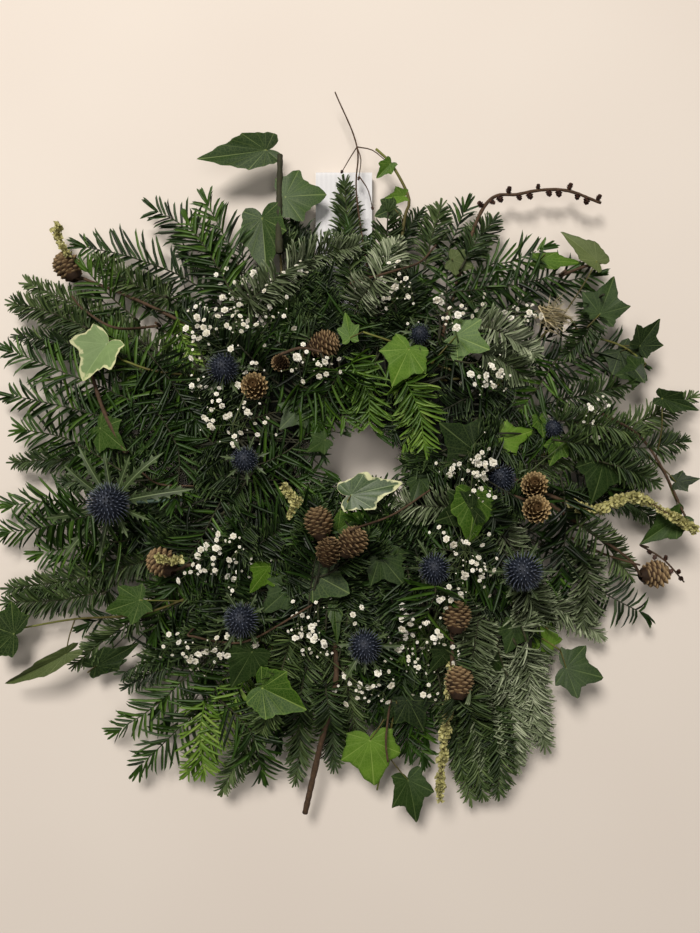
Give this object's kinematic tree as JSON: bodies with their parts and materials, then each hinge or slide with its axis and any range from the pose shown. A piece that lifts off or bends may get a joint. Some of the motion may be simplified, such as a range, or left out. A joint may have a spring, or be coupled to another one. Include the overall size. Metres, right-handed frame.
{
  "type": "fresh evergreen wreath",
  "caption": "Round wreath of yew, fir and ivy with sea holly, larch cones and small white flowers on a wired moss ring.",
  "frame": {"origin": "middle of the wreath's overall width and height, on the flat surface that its back rests on", "axes": "+Z out of the wreath's face, away from the back; +Y towards the hanging ribbon, which is up when it hangs; +X to the viewer's right"},
  "size_m": [0.624, 0.6358, 0.0969],
  "materials": {
    "yew_needles": "glossy dark green needles, tips brighter",
    "fir_needles": "satin blue-green needles",
    "ivy_leaf": "satin, leathery, pale veins",
    "ivy_cream_edged": "satin, grey-green with a cream edge",
    "sea_holly_heads": "matte steel blue, spiky",
    "sea_holly_bracts": "satin grey-green, spiny",
    "bark": "matte",
    "larch_cone": "matte",
    "gypsophila_flowers": "matte",
    "moss": "matte, fibrous",
    "green_wire": "satin green lacquer",
    "ribbon": "matte, finely ribbed"
  },
  "bodies": {
    "root": {"binding_wire": "green_wire", "cut_stem_bottom": "bark", "dried_sprig_top": "bark", "fir_spray_bottom": "fir_needles", "fir_spray_bottom_right": "fir_needles", "fir_spray_left_lower": "fir_needles", "fir_spray_left_upper": "fir_needles", "fir_spray_right": "fir_needles", "fir_spray_top": "fir_needles", "gypsophila_lower_left": "gypsophila_flowers", "gypsophila_right": "gypsophila_flowers", "gypsophila_upper_left": "gypsophila_flowers", "gypsophila_upper_right": "gypsophila_flowers", "hanging_ribbon": "ribbon", "ivy_leaf_cream_edged_centre": "ivy_cream_edged", "ivy_leaf_cream_edged_left": "ivy_cream_edged", "ivy_leaves_lower_centre": "ivy_leaf", "ivy_leaves_lower_left": "ivy_leaf", "ivy_leaves_right_centre": "ivy_leaf", "ivy_leaves_right_lower": "ivy_leaf", "ivy_leaves_top_centre": "ivy_leaf", "ivy_trail_bottom": "ivy_leaf", "ivy_trail_left": "ivy_leaf", "ivy_trail_right": "ivy_leaf", "ivy_trail_right_upper": "ivy_leaf", "ivy_trail_top": "ivy_leaf", "ivy_trail_top_left": "ivy_leaf", "larch_bud_twig": "bark", "larch_cone_left": "larch_cone", "larch_cone_top_left": "larch_cone", "larch_cone_upper_left": "larch_cone", "larch_cones_centre": "larch_cone", "larch_cones_right": "larch_cone", "larch_cones_upper": "larch_cone", "larch_twig_bottom": "larch_cone", "larch_twig_right": "larch_cone", "moss_ring": "moss", "sea_holly_bottom_bracts": "sea_holly_bracts", "sea_holly_bottom_head": "sea_holly_heads", "sea_holly_centre_left": "sea_holly_heads", "sea_holly_centre_right": "sea_holly_heads", "sea_holly_far_right": "sea_holly_heads", "sea_holly_left_bracts": "sea_holly_bracts", "sea_holly_left_head": "sea_holly_heads", "sea_holly_lower_left_bracts": "sea_holly_bracts", "sea_holly_lower_left_head": "sea_holly_heads", "sea_holly_lower_right_bracts": "sea_holly_bracts", "sea_holly_lower_right_head": "sea_holly_heads", "sea_holly_right_bracts": "sea_holly_bracts", "sea_holly_right_head": "sea_holly_heads", "sea_holly_top": "sea_holly_heads", "sea_holly_upper_left_bracts": "sea_holly_bracts", "sea_holly_upper_left_head": "sea_holly_heads", "wire_frame": "green_wire", "yew_spray_bottom_left": "yew_needles", "yew_spray_centre": "yew_needles", "yew_spray_left": "yew_needles", "yew_spray_left_hanging": "yew_needles", "yew_spray_top_left": "yew_needles", "yew_spray_top_right": "yew_needles"}
  },
  "joints": []
}
